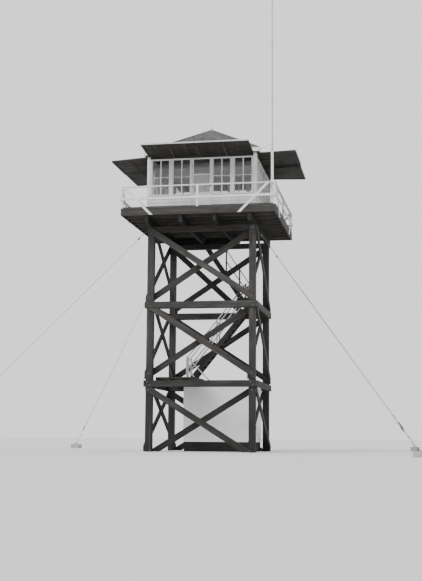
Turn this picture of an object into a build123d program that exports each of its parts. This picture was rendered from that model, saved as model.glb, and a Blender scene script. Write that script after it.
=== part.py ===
"""Timber fire lookout tower: a live-in cab with raised shutters and a catwalk on four braced legs.

The origin is on the ground, midway between the legs. X runs to the right along the front,
Y runs to the back and Z runs up. Every length is in millimetres.
"""
from math import atan2, cos, degrees, hypot, radians, sqrt, tan
import os

from build123d import *

os.makedirs("parts", exist_ok=True)

# Legs and girts
tower_side = 4267          # outside faces of the legs
leg_size = 254
leg_top = 8545
girt_spacing = 3048
lower_girt_height = 2600   # centre of the lower girts above the ground
girt_depth = 240
girt_thickness = 75

# Diagonal braces
brace_depth = 235
brace_thickness = 60
brace_seat_clearance = 12  # between a brace end and the girt beside it
low_bay = (-97, 2391)      # a brace's middle line at the two legs, bay by bay
side_low_bay = (178, 2322)
middle_bay = (2990, 5590)
top_bay = (5926, 8582)
short_brace_foot = 1020    # where the steep brace beside the upper landing meets its girt

# Platform frame
cap_depth = 195
girder_depth = 305
girder_thickness = 140
girder_rows = 4
joist_depth = 235
joist_thickness = 50
joist_count = 11
rim_thickness = 50
deck_thickness = 38
catwalk_width = 883        # from the legs' outside faces to the platform's edge

# Cab
cab_side = 4340
wall_thickness = 110
wall_height = 2282
sill_height = 680          # window sill above the deck
window_head = 2120         # window head above the deck
window_width = 715
window_spacing = 845       # centre to centre of two windows side by side
side_window_spacing = 815  # the same in the three walls without a door
door_width = 770
door_side_wall = 60        # wall left between the doorway and the window beside it
sash_thickness = 40
sash_stile = 30
sash_meeting_stile = 40
glass_thickness = 5
floor_board_thickness = 22
ceiling_thickness = 20

# Door
door_leaf_thickness = 44
door_stile = 60
door_gap = 4               # each side of the leaf

# Roof
roof_overhang = 120
eave_depth = 170
roof_rise = 1445
roof_thickness = 60
apex_width = 6             # flat left at the roof's point
finial_radius = 30
finial_height = 90
finial_sunk = 20           # below the roof's point
lightning_rod_height = 330
lightning_rod_radius = 6

# Shutters
shutter_length = 1450
right_shutter_length = 1530
left_shutter_length = 1510
shutter_thickness = 36
shutter_gap = 14           # between the panels of the front and of the back
side_shutter_gap = 120     # between the two panels of a side
shutter_head_drop = 14     # hinge line below the wall's top
shutter_span = 4200
front_shutter_shift = -30
front_shutter_tilt = 4.5
back_shutter_tilt = -2
right_shutter_tilts = (1.8, -1.7)
left_shutter_tilts = (-2.7, -3.7)
prop_size = 30
prop_drop = 85             # a prop's foot on the wall below the hinge line
prop_reach = 850           # its head under the shutter, out from the wall

# Railing
rail_height = 875          # top of the top rail above the deck
rail_depth = 90
rail_thickness = 38
mid_rail_height = 370
post_size = 90
right_brace_inset = 183    # from the corner to the head of each side's right-hand brace

# Stairs
stair_width = 670
stringer_depth = 185
stringer_thickness = 45
tread_depth = 210
tread_thickness = 38
riser_height = 213
handrail_height = 1000     # top of the handrail above the tread noses
handrail_depth = 70
knee_rail_height = 500
newel_width = 60
inner_girt_thickness = 100 # planks inside the legs that carry the landings
landing_joist_depth = 100
landing_joist_thickness = 50
landing_board_thickness = 38
landing_clearance = 5      # between a landing and the braces
lower_landing_edge = -250  # right-hand edge of the lower landing
lower_flight_start = 1700
lower_flight_end = -1000   # where the lower flight meets the lower landing
middle_flight_start = -1100
upper_landing_edge = 1350  # left-hand edge of the upper landing inside the legs
outer_landing_left = 1120  # both edges of its part outside the back girts
outer_landing_right = 2010
lower_lane_front = 44      # front of the lower flight, behind the tower's axis
middle_lane_front = 800    # front of the middle flight
top_lane_gap = 16          # from the back girts to the top flight
top_flight_start = 1360
top_flight_end = -930
lane_clearance = 14        # from the lower flight to the landings beside it
hatch_clearance = 10       # each side of the top flight

# Ground-level enclosure of the first flight
enclosure_left = -1055
enclosure_right = 1810
enclosure_front = 0
enclosure_foot = 380
enclosure_wall = 28
enclosure_floor_top = 38
enclosure_door_middle = 1220
enclosure_door_width = 700
enclosure_door_height = 2000
sill_inset = 8

# Radio mast
mast_post_size = 90
mast_post_top = 11410
mast_radius = 22
mast_top = 18000
stay_rise = 90             # above the eave's foot, where the stay runs from its corner to the mast
stay_radius = 6
stay_plate_size = 80
stay_plate_thickness = 6
stay_collar_radius = 32
stay_collar_height = 40

# Guys
guy_angle = 45
guy_plate_thickness = 12
guy_plate_width = 200
guy_plate_depth = 160
guy_radius = 7
anchor_size = 420
anchor_height = 180


# Places worked out from the sizes above

half_tower = tower_side / 2
leg_centre = half_tower - leg_size / 2
leg_inner = half_tower - leg_size
upper_girt_height = lower_girt_height + girt_spacing
girt_heights = [lower_girt_height, upper_girt_height]
cap_top = leg_top + cap_depth
girder_top = cap_top + girder_depth
joist_top = girder_top + joist_depth
deck_top = joist_top + deck_thickness
half_platform = half_tower + catwalk_width
half_cab = cab_side / 2
cab_inner = half_cab - wall_thickness
wall_top = deck_top + wall_height
sill_level = deck_top + sill_height
head_level = deck_top + window_head
half_roof = half_cab + roof_overhang
eave_level = wall_top
apex_level = eave_level + eave_depth + roof_rise
stay_level = eave_level + stay_rise


def block(x0, x1, y0, y1, z0, z1):
    """A box between two corners."""
    return Pos((x0 + x1) / 2, (y0 + y1) / 2, (z0 + z1) / 2) * Box(x1 - x0, y1 - y0, z1 - z0)


def turned(shape, quarter):
    """The shape turned about the tower's axis by a number of quarter turns."""
    return Rot(0, 0, 90 * quarter) * shape


def round_bar(start, end, radius):
    """A round bar from one point to another."""
    start = Vector(*start)
    end = Vector(*end)
    plane = Plane(origin=start, z_dir=end - start)
    return extrude(plane * Circle(radius), (end - start).length)


def save(name, *solids):
    """Write one node, as one solid or as several that lie side by side."""
    shape = solids[0] if len(solids) == 1 else Compound(children=list(solids))
    shape.label = name
    export_step(shape, "parts/" + name + ".step")


# Legs

def leg(side_x, side_y):
    """A square post from the ground to the cap beam."""
    x = side_x * leg_centre
    y = side_y * leg_centre
    half = leg_size / 2
    return block(x - half, x + half, y - half, y + half, 0, leg_top)


corners = [(-1, -1), (1, -1), (1, 1), (-1, 1)]
save("legs", *[leg(side_x, side_y) for side_x, side_y in corners])


# Girts and braces, drawn for the front face and turned for the others

def girt(height, reach):
    """A plank lapped on the outside of two legs."""
    return block(-reach, reach, -half_tower - girt_thickness, -half_tower,
                 height - girt_depth / 2, height + girt_depth / 2)


def brace(left, right, floor, ceiling, inner):
    """A plank along the line between two points, cut level above and below and upright at the legs."""
    run = right[0] - left[0]
    rise = right[1] - left[1]
    plank = Rot(0, -degrees(atan2(rise, run)), 0) * Box(2 * hypot(run, rise), brace_thickness, brace_depth)
    face = -leg_inner if inner else -half_tower - brace_thickness
    plank = Pos((left[0] + right[0]) / 2, face + brace_thickness / 2, (left[1] + right[1]) / 2) * plank
    return plank & block(-half_tower, half_tower, face, face + brace_thickness, floor, ceiling)


def brace_pair(bay, floor, ceiling, inner_ceiling):
    """The falling brace outside the legs and the rising one inside them."""
    low, high = bay
    return [brace((-leg_centre, high), (leg_centre, low), floor, ceiling, inner=False),
            brace((-leg_centre, low), (leg_centre, high), floor, inner_ceiling, inner=True)]


half_girt = girt_depth / 2
lower_girt_foot = lower_girt_height - half_girt - brace_seat_clearance
lower_girt_top = lower_girt_height + half_girt
upper_girt_foot = upper_girt_height - half_girt - brace_seat_clearance
upper_girt_top = upper_girt_height + half_girt

face_names = ["front", "right", "back", "left"]
for quarter, face in enumerate(face_names):
    across = face in ("front", "back")
    reach = half_tower + girt_thickness if across else half_tower
    save("girts_" + face, *[turned(girt(height, reach), quarter) for height in girt_heights])
    top_ceiling = cap_top - brace_seat_clearance
    inner_ceiling = top_ceiling if across else leg_top - brace_seat_clearance
    braces = brace_pair(low_bay if across else side_low_bay, brace_seat_clearance, lower_girt_foot, lower_girt_foot)
    braces += brace_pair(middle_bay, lower_girt_top + brace_seat_clearance, upper_girt_foot, upper_girt_foot)
    braces += brace_pair(top_bay, upper_girt_top + brace_seat_clearance, top_ceiling, inner_ceiling)
    if face == "back":
        braces[-1] = brace((-short_brace_foot, upper_girt_top), (leg_centre, top_bay[1]), upper_girt_top,
                           inner_ceiling, inner=True)
    save("braces_" + face, *[turned(plank, quarter) for plank in braces])


# Platform frame

save("cap_beams", *[block(-half_tower, half_tower, side * leg_centre - leg_size / 2,
                          side * leg_centre + leg_size / 2, leg_top, cap_top) for side in (-1, 1)])

inner_girts = []
for height in girt_heights:
    plank = block(-half_tower, half_tower, -leg_inner, -leg_inner + inner_girt_thickness,
                  height - half_girt, height + half_girt)
    inner_girts += [plank, turned(plank, 2)]
save("inner_girts", *inner_girts)

top_lane_front = half_tower + girt_thickness + top_lane_gap
top_lane_back = top_lane_front + stair_width
girder_pitch = 2 * leg_centre / (girder_rows - 1)
girder_places = [-leg_centre + girder_pitch * row for row in range(girder_rows)]
half_girder = girder_thickness / 2
hatch_left = top_flight_end
hatch_right = girder_places[2] - half_girder
hatch_front = top_lane_front - hatch_clearance
hatch_back = top_lane_back + hatch_clearance
hatch = block(hatch_left, hatch_right, hatch_front, hatch_back, girder_top, deck_top)

frame_reach = half_platform - rim_thickness
girders = []
for row, x in enumerate(girder_places):
    back = hatch_front - girder_thickness if row == 1 else frame_reach
    girders.append(block(x - half_girder, x + half_girder, -frame_reach, back, cap_top, girder_top))
hatch_header = block(girder_places[0] + half_girder, hatch_right, hatch_front - girder_thickness, hatch_front,
                     cap_top, girder_top)
save("floor_girders", *girders, hatch_header)

joist_pitch = (2 * frame_reach - joist_thickness) / (joist_count - 1)
joist_gap = hatch + block(hatch_left - joist_thickness, hatch_left, hatch_front, hatch_back, girder_top, deck_top)
joists = []
for row in range(joist_count):
    front = -frame_reach + joist_pitch * row
    joist = block(-frame_reach, frame_reach, front, front + joist_thickness, girder_top, joist_top)
    joists += (joist - joist_gap).solids()
hatch_trimmer = block(hatch_left - joist_thickness, hatch_left, hatch_front - girder_thickness,
                      frame_reach - joist_thickness, girder_top, joist_top)
save("floor_joists", *joists, hatch_trimmer)

rim_outer = block(-half_platform, half_platform, -half_platform, half_platform, girder_top, deck_top)
rim_inner = block(-frame_reach, frame_reach, -frame_reach, frame_reach, girder_top, deck_top)
save("platform_rim", rim_outer - rim_inner)

deck = block(-frame_reach, frame_reach, -frame_reach, frame_reach, joist_top, deck_top)
save("platform_deck", deck - hatch)


# Stairs

landing_depth = landing_joist_depth + landing_board_thickness
lower_landing_top = lower_girt_height + half_girt + landing_depth
upper_landing_top = lower_landing_top + girt_spacing
landing_reach = leg_inner - brace_thickness - landing_clearance
middle_lane_back = middle_lane_front + stair_width


def landing(left, right, front, back, top, joist_count):
    """Boards on joists that run from the front inner girt to the back one."""
    boards_foot = top - landing_board_thickness
    solid = block(left, right, front, back, boards_foot, top)
    for number in range(joist_count):
        x = left + (right - left - landing_joist_thickness) * number / (joist_count - 1)
        solid += block(x, x + landing_joist_thickness, front, back, top - landing_depth, boards_foot)
    return solid


lower_lane_back = lower_lane_front + stair_width
landing_turn = (lower_lane_back + middle_lane_front) / 2
lower_landing = landing(-landing_reach, lower_landing_edge, -landing_reach, lower_lane_front - lane_clearance,
                        lower_landing_top, 4)
lower_landing += landing(-landing_reach, lower_flight_end, lower_lane_front - lane_clearance, landing_turn,
                         lower_landing_top, 3)
lower_landing += landing(-landing_reach, lower_landing_edge, landing_turn, landing_reach, lower_landing_top, 4)
upper_landing = landing(upper_landing_edge, landing_reach, -landing_reach, top_lane_back, upper_landing_top, 3)
upper_landing += landing(outer_landing_left, outer_landing_right, top_lane_front - top_lane_gap, top_lane_back,
                         upper_landing_top, 2)
save("stair_landings", lower_landing, upper_landing)


def flight(start, end, foot, head, front):
    """Stringers and treads of one flight, cut level at its foot and upright at its head."""
    direction = 1 if end > start else -1
    slope = (head - foot) / (end - start)
    upright = stringer_depth * sqrt(1 + slope ** 2)
    profile = Polyline((start, 0, foot), (end, 0, head), (end, 0, head - upright),
                       (start + upright / abs(slope) * direction, 0, foot), close=True)
    board = extrude(make_face(profile), stringer_thickness, dir=(0, 1, 0))
    stringers = [Pos(0, front, 0) * board,
                 Pos(0, front + stair_width - stringer_thickness, 0) * board]
    risers = round((head - foot) / riser_height)
    treads = []
    for step in range(1, risers):
        level = foot + (head - foot) * step / risers
        nose = start + (level - foot) / slope
        back = direction * min(direction * nose + tread_depth, direction * end)
        left, right = sorted((nose, back))
        treads.append(block(left, right, front + stringer_thickness,
                            front + stair_width - stringer_thickness, level - tread_thickness, level))
    return stringers, treads


def handrail(left, right, line, front):
    """Two sloping rails on three newels that stand on a stringer's upper edge."""
    def upright_band(x0, x1, low, high):
        outline = Polyline((x0, 0, line(x0) + low), (x1, 0, line(x1) + low), (x1, 0, line(x1) + high),
                           (x0, 0, line(x0) + high), close=True)
        return Pos(0, front, 0) * extrude(make_face(outline), stringer_thickness, dir=(0, 1, 0))

    solid = upright_band(left, right, handrail_height - handrail_depth, handrail_height)
    solid += upright_band(left, right, knee_rail_height - handrail_depth, knee_rail_height)
    for newel in (left, (left + right - newel_width) / 2, right - newel_width):
        solid += upright_band(newel, newel + newel_width, 0, handrail_height - handrail_depth)
    return solid


def nose_line(start, end, foot, head):
    """Height of the tread noses at a place along a flight."""
    return lambda x: foot + (head - foot) * (x - start) / (end - start)


lower_run = (lower_flight_start, lower_flight_end, enclosure_floor_top, lower_landing_top)
middle_run = (middle_flight_start, upper_landing_edge, lower_landing_top, upper_landing_top)
top_run = (top_flight_start, top_flight_end, upper_landing_top, deck_top)
flights = [flight(*lower_run, lower_lane_front), flight(*middle_run, middle_lane_front),
           flight(*top_run, top_lane_front)]
save("stair_stringers", *[board for stringers, treads in flights for board in stringers])
save("stair_treads", *[tread for stringers, treads in flights for tread in treads])

rail_room = cap_top - handrail_height - upper_landing_top
top_rail_left = top_flight_start - rail_room * (top_flight_start - top_flight_end) / (deck_top - upper_landing_top)
save("stair_handrails",
     handrail(lower_flight_end, lower_flight_start, nose_line(*lower_run), lower_lane_front),
     handrail(middle_flight_start, upper_landing_edge, nose_line(*middle_run), middle_lane_front),
     handrail(middle_flight_start, upper_landing_edge, nose_line(*middle_run),
              middle_lane_back - stringer_thickness),
     handrail(top_rail_left, top_flight_start, nose_line(*top_run), top_lane_back - stringer_thickness))


# Ground-level enclosure

enclosure_back = leg_inner - inner_girt_thickness
screen_head = lower_landing_top - landing_depth


def ring(inset, foot, head):
    """The enclosure's four sides between two levels, set back a little from its outside."""
    outer = block(enclosure_left + inset, enclosure_right - inset, enclosure_front + inset,
                  enclosure_back - inset, foot, head)
    return outer - block(enclosure_left + enclosure_wall, enclosure_right - enclosure_wall,
                         enclosure_front + enclosure_wall, enclosure_back - enclosure_wall, foot, head)


def doorway(clearance):
    """The space of the enclosure's door, in its left end."""
    half = enclosure_door_width / 2 - clearance
    return block(enclosure_left, enclosure_left + enclosure_wall, enclosure_door_middle - half,
                 enclosure_door_middle + half, enclosure_floor_top, enclosure_floor_top + enclosure_door_height)


save("stair_enclosure", ring(0, enclosure_foot, screen_head) - doorway(0))
save("enclosure_door", doorway(door_gap))
enclosure_floor = block(enclosure_left + enclosure_wall, enclosure_right - enclosure_wall,
                        enclosure_front + enclosure_wall, enclosure_back - enclosure_wall, 0, enclosure_floor_top)
save("enclosure_base", ring(sill_inset, 0, enclosure_foot) - doorway(0) + enclosure_floor)


# Cab walls, drawn for the front and turned for the others

def window_centres(has_door):
    """Middle of each window along a wall."""
    if has_door:
        inner = door_width / 2 + door_side_wall + window_width / 2
        return [-inner - window_spacing, -inner, inner, inner + window_spacing]
    return [side_window_spacing * (step - 2) for step in range(5)]


def wall(half_length, has_door):
    """A wall with its windows, and its doorway, cut through."""
    solid = block(-half_length, half_length, -half_cab, -cab_inner, deck_top, wall_top)
    for centre in window_centres(has_door):
        solid -= block(centre - window_width / 2, centre + window_width / 2, -half_cab, -cab_inner,
                       sill_level, head_level)
    if has_door:
        solid -= block(-door_width / 2, door_width / 2, -half_cab, -cab_inner, deck_top, head_level)
    return solid


def sash(centre):
    """A fixed sash with a stile down its middle."""
    middle = -half_cab + wall_thickness / 2
    frame = block(centre - window_width / 2, centre + window_width / 2, middle - sash_thickness / 2,
                  middle + sash_thickness / 2, sill_level, head_level)
    pane = (window_width - 2 * sash_stile - sash_meeting_stile) / 2
    for side in (-1, 1):
        x = centre + side * (sash_meeting_stile / 2 + pane / 2)
        frame -= block(x - pane / 2, x + pane / 2, middle - sash_thickness / 2, middle + sash_thickness / 2,
                       sill_level + sash_stile, head_level - sash_stile)
    return frame


def panes(centre):
    """The two panes of one sash."""
    middle = -half_cab + wall_thickness / 2
    pane = (window_width - 2 * sash_stile - sash_meeting_stile) / 2
    glass = []
    for side in (-1, 1):
        x = centre + side * (sash_meeting_stile / 2 + pane / 2)
        glass.append(block(x - pane / 2, x + pane / 2, middle - glass_thickness / 2,
                           middle + glass_thickness / 2, sill_level + sash_stile, head_level - sash_stile))
    return glass


sashes = []
glass = []
for quarter, face in enumerate(face_names):
    has_door = face == "front"
    half_length = half_cab if face in ("front", "back") else cab_inner
    save("wall_" + face, turned(wall(half_length, has_door), quarter))
    centres = window_centres(has_door)
    sashes += [turned(sash(centre), quarter) for centre in centres]
    for centre in centres:
        glass += [turned(pane, quarter) for pane in panes(centre)]
save("window_sashes", *sashes)


# Door

door_middle = -half_cab + wall_thickness / 2
leaf_half = door_width / 2 - door_gap
light_half = leaf_half - door_stile
light_foot = sill_level + sash_stile
light_head = head_level - sash_stile
leaf = block(-leaf_half, leaf_half, door_middle - door_leaf_thickness / 2,
             door_middle + door_leaf_thickness / 2, deck_top, head_level)
leaf -= block(-light_half, light_half, door_middle - door_leaf_thickness / 2,
              door_middle + door_leaf_thickness / 2, light_foot, light_head)
save("door", leaf)
door_light = block(-light_half, light_half, door_middle - glass_thickness / 2,
                   door_middle + glass_thickness / 2, light_foot, light_head)
save("window_glass", *glass, door_light)


# Cab floor and ceiling

floor_top = deck_top + floor_board_thickness
save("cab_floor", block(-cab_inner, cab_inner, -cab_inner, cab_inner, deck_top, floor_top))
save("cab_ceiling", block(-cab_inner, cab_inner, -cab_inner, cab_inner, wall_top - ceiling_thickness, wall_top))


# Roof

def pyramid(half, foot, rise):
    """A four-sided roof form that closes to a small flat."""
    lean = degrees(atan2(half - apex_width / 2, rise))
    return extrude(Plane.XY.offset(foot) * Rectangle(2 * half, 2 * half), rise, taper=lean)


roof_slope = roof_rise / half_roof
hollow_half = half_roof - roof_overhang - wall_thickness
roof = block(-half_roof, half_roof, -half_roof, half_roof, eave_level, eave_level + eave_depth)
roof += pyramid(half_roof, eave_level + eave_depth, roof_rise)
attic_rise = roof_slope * hollow_half
attic_foot = eave_level + eave_depth + roof_slope * (half_roof - hollow_half) - roof_thickness
roof -= block(-hollow_half, hollow_half, -hollow_half, hollow_half, eave_level, attic_foot)
roof -= pyramid(hollow_half, attic_foot, attic_rise)
save("roof", roof)

upright = (Align.CENTER, Align.CENTER, Align.MIN)
finial_foot = apex_level - finial_sunk
finial = Pos(0, 0, finial_foot) * Cylinder(finial_radius, finial_height, align=upright)
finial -= pyramid(half_roof, eave_level + eave_depth, roof_rise)
rod = Pos(0, 0, finial_foot + finial_height) * Cylinder(lightning_rod_radius, lightning_rod_height, align=upright)
save("lightning_rod", finial + rod)


# Shutters

hinge_level = wall_top - shutter_head_drop
outside = block(-half_platform * 2, half_platform * 2, -half_platform * 2, -half_cab, 0, mast_top)


def shutter(centre, width, length, tilt):
    """A panel hinged at the head of the front wall and raised to stand out from it."""
    panel = Box(width, length, shutter_thickness, align=(Align.CENTER, Align.MAX, Align.MAX))
    return Pos(centre, -half_cab, hinge_level) * Rot(-tilt, 0, 0) * panel & outside


def shutter_prop(centre, tilt):
    """A bar from the wall above the windows to the underside of a shutter."""
    underside = shutter_thickness / cos(radians(tilt))
    rise = prop_drop - underside + prop_reach * tan(radians(tilt))
    bar = Box(prop_size, 3 * prop_reach, prop_size)
    bar = Pos(centre, -half_cab, hinge_level - prop_drop) * Rot(-degrees(atan2(rise, prop_reach)), 0, 0) * bar
    above = Box(2 * prop_size, 4 * prop_reach, prop_reach * 2, align=(Align.CENTER, Align.CENTER, Align.MIN))
    above = Pos(centre, -half_cab, hinge_level) * Rot(-tilt, 0, 0) * Pos(0, 0, -shutter_thickness) * above
    return bar & outside - above


def four_panels(shift, tilt):
    """The shutters over the front or the back, with a prop at each joint."""
    width = shutter_span / 4
    centres = [shift + width * (number - 1.5) for number in range(4)]
    panels = [shutter(centre, width - shutter_gap, shutter_length, tilt) for centre in centres]
    props = [shutter_prop(shift + width * (number - 1), tilt) for number in range(3)]
    return panels, props


def two_panels(length, tilts):
    """The shutters over a side, each with a prop in its middle."""
    width = cab_side / 2
    places = list(zip((-width / 2, width / 2), tilts))
    panels = [shutter(centre, width - side_shutter_gap, length, tilt) for centre, tilt in places]
    return panels, [shutter_prop(centre, tilt) for centre, tilt in places]


shutter_sets = [four_panels(front_shutter_shift, front_shutter_tilt),
                two_panels(right_shutter_length, right_shutter_tilts),
                four_panels(0, back_shutter_tilt),
                two_panels(left_shutter_length, left_shutter_tilts)]
props = []
for quarter, face in enumerate(face_names):
    panels, face_props = shutter_sets[quarter]
    save("shutters_" + face, *[turned(panel, quarter) for panel in panels])
    props += [turned(prop, quarter) for prop in face_props]
save("shutter_props", *props)


# Railing

rail_top = deck_top + rail_height
rail_face = -half_platform - rail_thickness


def rail_brace(side, inset):
    """A plank on the outside from the top rail down across the rim."""
    slope_width = rail_depth * sqrt(2)
    head_x = half_platform - inset
    foot_x = head_x - (rail_top - girder_top)
    outline = Polyline((side * head_x, 0, rail_top), (side * (head_x - slope_width), 0, rail_top),
                       (side * (foot_x - slope_width), 0, girder_top), (side * foot_x, 0, girder_top),
                       close=True)
    return Pos(0, -half_platform, 0) * extrude(make_face(outline), rail_thickness, dir=(0, -1, 0))


def railing(reach, post_places):
    """Posts on the deck, a rail over them, and a rail and two sloping planks on their outside."""
    face = -half_platform
    solid = block(-reach, reach, face, face + rail_depth, rail_top - rail_thickness, rail_top)
    for x in post_places:
        solid += block(x - post_size / 2, x + post_size / 2, face, face + post_size, deck_top,
                       rail_top - rail_thickness)
    solid += block(-half_platform, half_platform, rail_face, face, deck_top + mid_rail_height - rail_depth / 2,
                   deck_top + mid_rail_height + rail_depth / 2)
    return solid + rail_brace(-1, 0) + rail_brace(1, right_brace_inset)


corner_post = half_platform - post_size / 2
for quarter, face in enumerate(face_names):
    if face in ("front", "back"):
        rail_frame = railing(half_platform, (-corner_post, 0, corner_post))
    else:
        rail_frame = railing(half_platform - rail_depth, (0,))
    save("railing_" + face, turned(rail_frame, quarter))


# Radio mast

mast_x = half_platform - post_size - mast_post_size / 2
mast_y = -mast_x
save("mast_post", block(mast_x - mast_post_size / 2, mast_x + mast_post_size / 2, mast_y - mast_post_size / 2,
                        mast_y + mast_post_size / 2, deck_top, mast_post_top))
mast = Pos(mast_x, mast_y, mast_post_top) * Cylinder(mast_radius, mast_top - mast_post_top, align=upright)
stay_plate = block(half_roof - stay_plate_size, half_roof, -half_roof - stay_plate_thickness, -half_roof,
                   stay_level - stay_plate_size / 2, stay_level + stay_plate_size / 2)
stay_start = (half_roof - stay_plate_thickness, -half_roof - stay_plate_thickness, stay_level)
mast_stay = stay_plate + round_bar(stay_start, (mast_x, mast_y, stay_level), stay_radius)
mast_stay -= block(half_roof - stay_plate_size, half_roof, -half_roof, 0, eave_level, mast_top)
collar = Pos(mast_x, mast_y, stay_level) * Cylinder(stay_collar_radius, stay_collar_height)
save("radio_mast", mast + mast_stay + collar)


# Guys and anchors

guy_height = leg_top + cap_depth / 2


def guy():
    """The front left guy: a plate on the cap beam's end and a taut wire down to its anchor."""
    plate = block(-half_tower - guy_plate_thickness, -half_tower, -half_tower, -half_tower + guy_plate_width,
                  guy_height - guy_plate_depth / 2, guy_height + guy_plate_depth / 2)
    start_x = -half_tower - guy_plate_thickness + guy_radius / 2
    start_y = -half_tower + guy_plate_thickness
    run = (guy_height - anchor_height) / tan(radians(guy_angle)) * sqrt(0.5)
    wire = round_bar((start_x, start_y, guy_height), (start_x - run, start_y - run, anchor_height), guy_radius)
    return plate + wire, start_x - run, start_y - run


wire, anchor_x, anchor_y = guy()
anchor = Pos(anchor_x, anchor_y, 0) * Box(anchor_size, anchor_size, anchor_height, align=upright)
wire -= anchor
save("guy_wires", *[turned(wire, quarter) for quarter in range(4)])
save("guy_anchors", *[turned(anchor, quarter) for quarter in range(4)])
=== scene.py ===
"""Looks of a timber fire lookout tower: boards, shingles, trim, hardware and finishes over its solids.

Every length is in metres in the tower's own frame: the origin is on the ground midway between
the legs, X runs to the right along the front, Y to the back and Z up. A quarter is one of the four
sides, counted anticlockwise from the front as seen from above: front, right, back, left.
"""
import math

import bpy
import numpy as np
from bpy.props import FloatProperty, FloatVectorProperty, IntProperty, PointerProperty
from mathutils import Matrix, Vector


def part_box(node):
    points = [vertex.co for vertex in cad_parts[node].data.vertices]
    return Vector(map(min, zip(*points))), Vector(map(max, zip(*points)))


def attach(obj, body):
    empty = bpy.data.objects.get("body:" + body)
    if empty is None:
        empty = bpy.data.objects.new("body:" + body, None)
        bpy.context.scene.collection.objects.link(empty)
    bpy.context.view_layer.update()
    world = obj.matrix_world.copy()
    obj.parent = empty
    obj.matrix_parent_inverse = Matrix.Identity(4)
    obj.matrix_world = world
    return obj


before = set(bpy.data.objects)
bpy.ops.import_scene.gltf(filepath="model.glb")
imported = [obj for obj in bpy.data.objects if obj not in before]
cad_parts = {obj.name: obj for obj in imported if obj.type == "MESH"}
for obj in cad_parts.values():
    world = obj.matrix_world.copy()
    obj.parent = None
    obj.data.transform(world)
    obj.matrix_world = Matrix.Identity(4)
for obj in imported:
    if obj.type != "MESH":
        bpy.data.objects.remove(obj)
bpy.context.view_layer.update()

bl_info = {
    "name": "Fire lookout tower",
    "version": (1, 0, 0),
    "blender": (4, 5, 0),
    "location": "View3D > Sidebar > Tower",
    "description": "Dresses the solids of a timber lookout tower",
    "category": "Object",
}


# Places and sizes of the tower

def low(node):
    """Lowest corner of a node as an array."""
    return np.array(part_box(node)[0])


def high(node):
    """Highest corner of a node as an array."""
    return np.array(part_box(node)[1])


HALF_TOWER = high("legs")[0]
LEG_SIZE = 0.254
LEG_CENTRE = HALF_TOWER - LEG_SIZE / 2
GIRT_FACE = high("girts_right")[0]
GIRT_SPACING = 3.048
GIRT_LEVELS = 2.6 + GIRT_SPACING * np.arange(2)
BRACE_FACE = high("braces_right")[0]
BRACE_CLIMB = 31
GIRDER_THICKNESS = 0.14
HALF_PLATFORM = high("platform_rim")[0]
DECK_TOP = high("platform_deck")[2]
HATCH_LOW = np.array([-0.93, 2.2145])
HATCH_HIGH = np.array([0.5988, 2.9045])

LANDING_REACH = 1.8145
LOWER_LANDING = 2.858
UPPER_LANDING = LOWER_LANDING + GIRT_SPACING
FLIGHT_CLIMB = 53
# each part of a landing: its left, front, right, back and top
LANDINGS = np.array([
    (-LANDING_REACH, -LANDING_REACH, -0.25, 0.03, LOWER_LANDING),
    (-LANDING_REACH, 0.03, -1.0, 0.757, LOWER_LANDING),
    (-LANDING_REACH, 0.757, -0.25, LANDING_REACH, LOWER_LANDING),
    (1.35, -LANDING_REACH, LANDING_REACH, 2.2085, UPPER_LANDING),
    (1.12, 2.2085, 2.01, 2.8945, UPPER_LANDING),
])

HALF_CAB = high("wall_front")[0]
WALL_FACE = -HALF_CAB
WALL_TOP = high("wall_front")[2]
SILL_LEVEL = low("window_sashes")[2]
HEAD_LEVEL = high("window_sashes")[2]
WINDOW_WIDTH = 0.715
WINDOW_SPACING = 0.845
SIDE_SPACING = 0.815
SASH_STILE = 0.03
MEETING_STILE = 0.04
PANE_WIDTH = (WINDOW_WIDTH - 2 * SASH_STILE - MEETING_STILE) / 2
DOOR_WIDTH = 0.77
DOOR_STILE = 0.06
DOOR_SIDE_WALL = 0.06
DOOR_BAR_FOOT, DOOR_BAR_HEAD = 10.775, 10.815
FIRST_CENTRE = DOOR_WIDTH / 2 + DOOR_SIDE_WALL + WINDOW_WIDTH / 2
FRONT_CENTRES = np.array([-FIRST_CENTRE - WINDOW_SPACING, -FIRST_CENTRE, FIRST_CENTRE,
                          FIRST_CENTRE + WINDOW_SPACING])
SIDE_CENTRES = SIDE_SPACING * (np.arange(5) - 2)

HALF_ROOF = high("roof")[0]
EAVE_TOP = WALL_TOP + 0.17
APEX = high("roof")[2]
HINGE_LEVEL = WALL_TOP - 0.014
SHUTTER_DEPTH = 0.036
# the glass darkens over this band of levels, in the shade under the shutters
SHADE_FOOT, SHADE_HEAD = 11.02, 11.14
# each panel: its quarter, middle, width, length and tilt in degrees
SHUTTERS = np.array([(0, -0.03 + 1.05 * (n - 1.5), 1.036, 1.45, 4.5) for n in range(4)]
                    + [(1, -1.085, 2.05, 1.53, 1.8), (1, 1.085, 2.05, 1.53, -1.7)]
                    + [(2, 1.05 * (n - 1.5), 1.036, 1.45, -2.0) for n in range(4)]
                    + [(3, -1.085, 2.05, 1.51, -2.7), (3, 1.085, 2.05, 1.51, -3.7)])

# Stretches that draw a finish's grain out along one way
VERTICAL = (1, 1, 0.05)
ALONG_X = (0.05, 1, 1)
ALONG_Y = (1, 0.05, 1)


# Shapes, each a pair of points and faces

BOX_CORNERS = np.array([(0, 0, 0), (1, 0, 0), (1, 1, 0), (0, 1, 0),
                        (0, 0, 1), (1, 0, 1), (1, 1, 1), (0, 1, 1)])
BOX_SIDES = np.array([(3, 2, 1, 0), (4, 5, 6, 7), (0, 1, 5, 4), (1, 2, 6, 5), (2, 3, 7, 6), (3, 0, 4, 7)])


def rows(x, y, z):
    """Points from their coordinates, each a number or an array."""
    return np.stack(np.broadcast_arrays(x, y, z), axis=-1).astype(float)


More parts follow.
